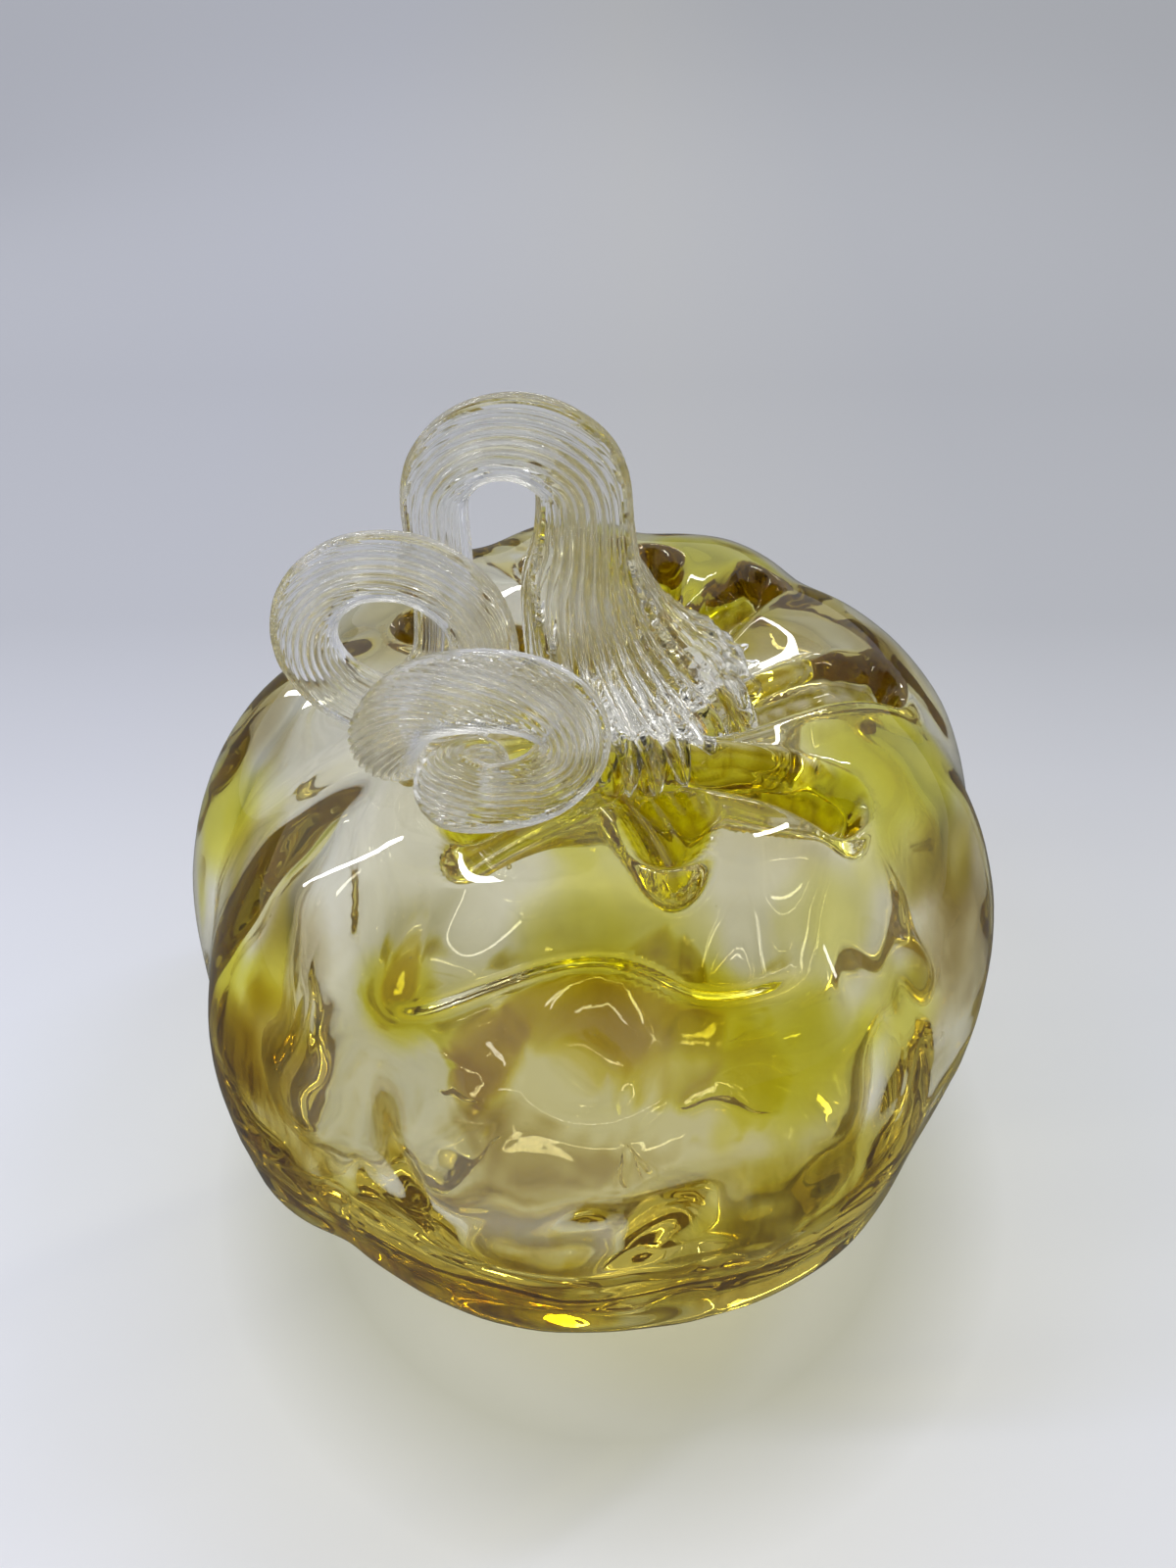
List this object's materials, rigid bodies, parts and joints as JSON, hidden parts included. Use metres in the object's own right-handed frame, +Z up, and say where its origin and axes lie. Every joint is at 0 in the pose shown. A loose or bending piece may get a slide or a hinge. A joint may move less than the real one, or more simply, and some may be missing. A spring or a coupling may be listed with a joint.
{
  "type": "glass pumpkin",
  "caption": "Hollow blown-glass pumpkin with a lobed body, pinched crown creases and a ribbed, curled glass stem; a table ornament that rests on its flat base.",
  "frame": {"origin": "middle of the flat base, on the surface that the object stands on", "axes": "+Z up along the body's axis; -Y is the front, where the stem's last loop hangs over the crown; +X is right"},
  "size_m": [0.1484, 0.1493, 0.1774],
  "materials": {
    "body_glass": "fire-polished clear glass with soft yellow, olive and amber patches",
    "stem_glass": "fire-polished clear glass, finely ribbed"
  },
  "bodies": {
    "root": {"body": "body_glass", "stem": "stem_glass"}
  },
  "joints": []
}
